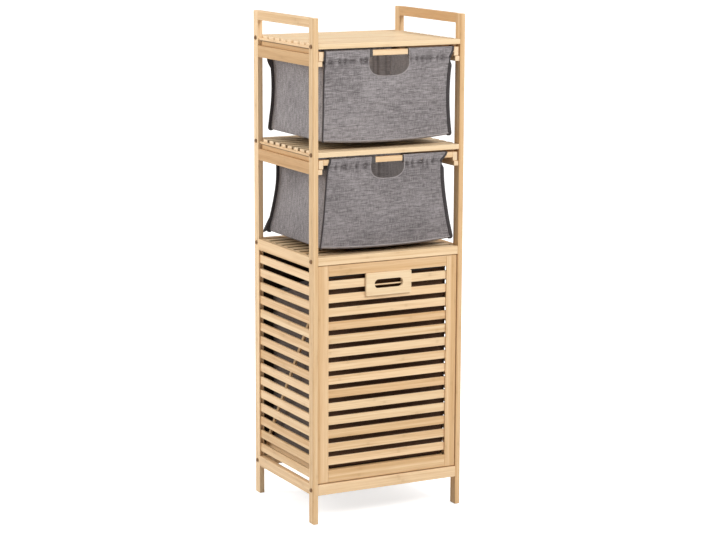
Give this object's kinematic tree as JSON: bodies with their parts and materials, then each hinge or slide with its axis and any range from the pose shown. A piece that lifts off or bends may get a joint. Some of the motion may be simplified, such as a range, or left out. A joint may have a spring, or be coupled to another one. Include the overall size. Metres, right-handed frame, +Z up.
{
  "type": "laundry cabinet",
  "caption": "Tall slatted bamboo laundry cabinet with hanging fabric bin drawers and a tilt-out laundry bag door.",
  "frame": {"origin": "on the floor, in the middle of the cabinet's footprint", "axes": "+X to the right seen from the front, +Y to the back, +Z up; the door and drawers face -Y"},
  "size_m": [0.407, 0.325, 1.2],
  "materials": {
    "bamboo": "satin clear lacquer on bamboo",
    "pale_bamboo": "satin clear lacquer",
    "grey_fabric": "heathered weave",
    "dark_fabric": "plain dark weave",
    "fibreboard": "raw fibreboard",
    "dark_board": "dark stained board",
    "dark_plastic": "moulded",
    "bright_steel": "plated",
    "dark_bolt": "dark bronze"
  },
  "bodies": {
    "cabinet": {"left_front_post": "bamboo", "left_rear_post": "bamboo", "right_front_post": "bamboo", "right_rear_post": "bamboo", "left_handle_rail": "bamboo", "left_top_rail": "bamboo", "left_middle_rail": "bamboo", "left_lower_rail": "bamboo", "left_bottom_rail": "bamboo", "right_handle_rail": "bamboo", "right_top_rail": "bamboo", "right_middle_rail": "bamboo", "right_lower_rail": "bamboo", "right_bottom_rail": "bamboo", "left_side_slats": "bamboo", "right_side_slats": "bamboo", "top_shelf_front_board": "bamboo", "top_shelf_rear_board": "bamboo", "top_shelf_slats": "bamboo", "top_shelf_battens": "bamboo", "middle_shelf_front_board": "bamboo", "middle_shelf_rear_board": "bamboo", "middle_shelf_slats": "bamboo", "middle_shelf_battens": "bamboo", "lower_shelf_front_rail": "bamboo", "lower_shelf_rear_rail": "bamboo", "lower_shelf_slats": "bamboo", "lower_shelf_battens": "bamboo", "bottom_front_rail": "bamboo", "bottom_rear_rail": "bamboo", "tilt_stop_strip": "bamboo", "back_panel": "dark_board", "catch_magnet": "dark_plastic", "hinge_pins": "bright_steel", "frame_bolts": "dark_bolt", "upper_drawer_runners": "bamboo", "lower_drawer_runners": "bamboo"},
    "upper_drawer": {"upper_drawer_side_bars": "bamboo", "upper_drawer_front_bar": "bamboo", "upper_drawer_rear_bar": "bamboo", "upper_bin": "grey_fabric", "upper_bin_base_board": "fibreboard"},
    "lower_drawer": {"lower_drawer_side_bars": "bamboo", "lower_drawer_front_bar": "bamboo", "lower_drawer_rear_bar": "bamboo", "lower_bin": "grey_fabric", "lower_bin_base_board": "fibreboard"},
    "tilt_door": {"door_left_stile": "bamboo", "door_right_stile": "bamboo", "door_top_rail": "bamboo", "door_bottom_rail": "bamboo", "door_slats": "bamboo", "handle_plate": "pale_bamboo", "catch_plate": "bright_steel", "carrier_left_arm": "bamboo", "carrier_right_arm": "bamboo", "carrier_left_brace": "bamboo", "carrier_right_brace": "bamboo", "carrier_slats": "bamboo", "laundry_bag": "dark_fabric"}
  },
  "joints": [
    {"name": "upper_drawer_slide", "type": "slide", "parent": "cabinet", "child": "upper_drawer", "axis": [0, -1, 0], "range_m": [0, 0.2]},
    {"name": "lower_drawer_slide", "type": "slide", "parent": "cabinet", "child": "lower_drawer", "axis": [0, -1, 0], "range_m": [0, 0.2]},
    {"name": "door_tilt", "type": "hinge", "parent": "cabinet", "child": "tilt_door", "pos_m": [0, -0.1525, 0.112], "axis": [1, 0, 0], "range_deg": [0, 30]}
  ]
}
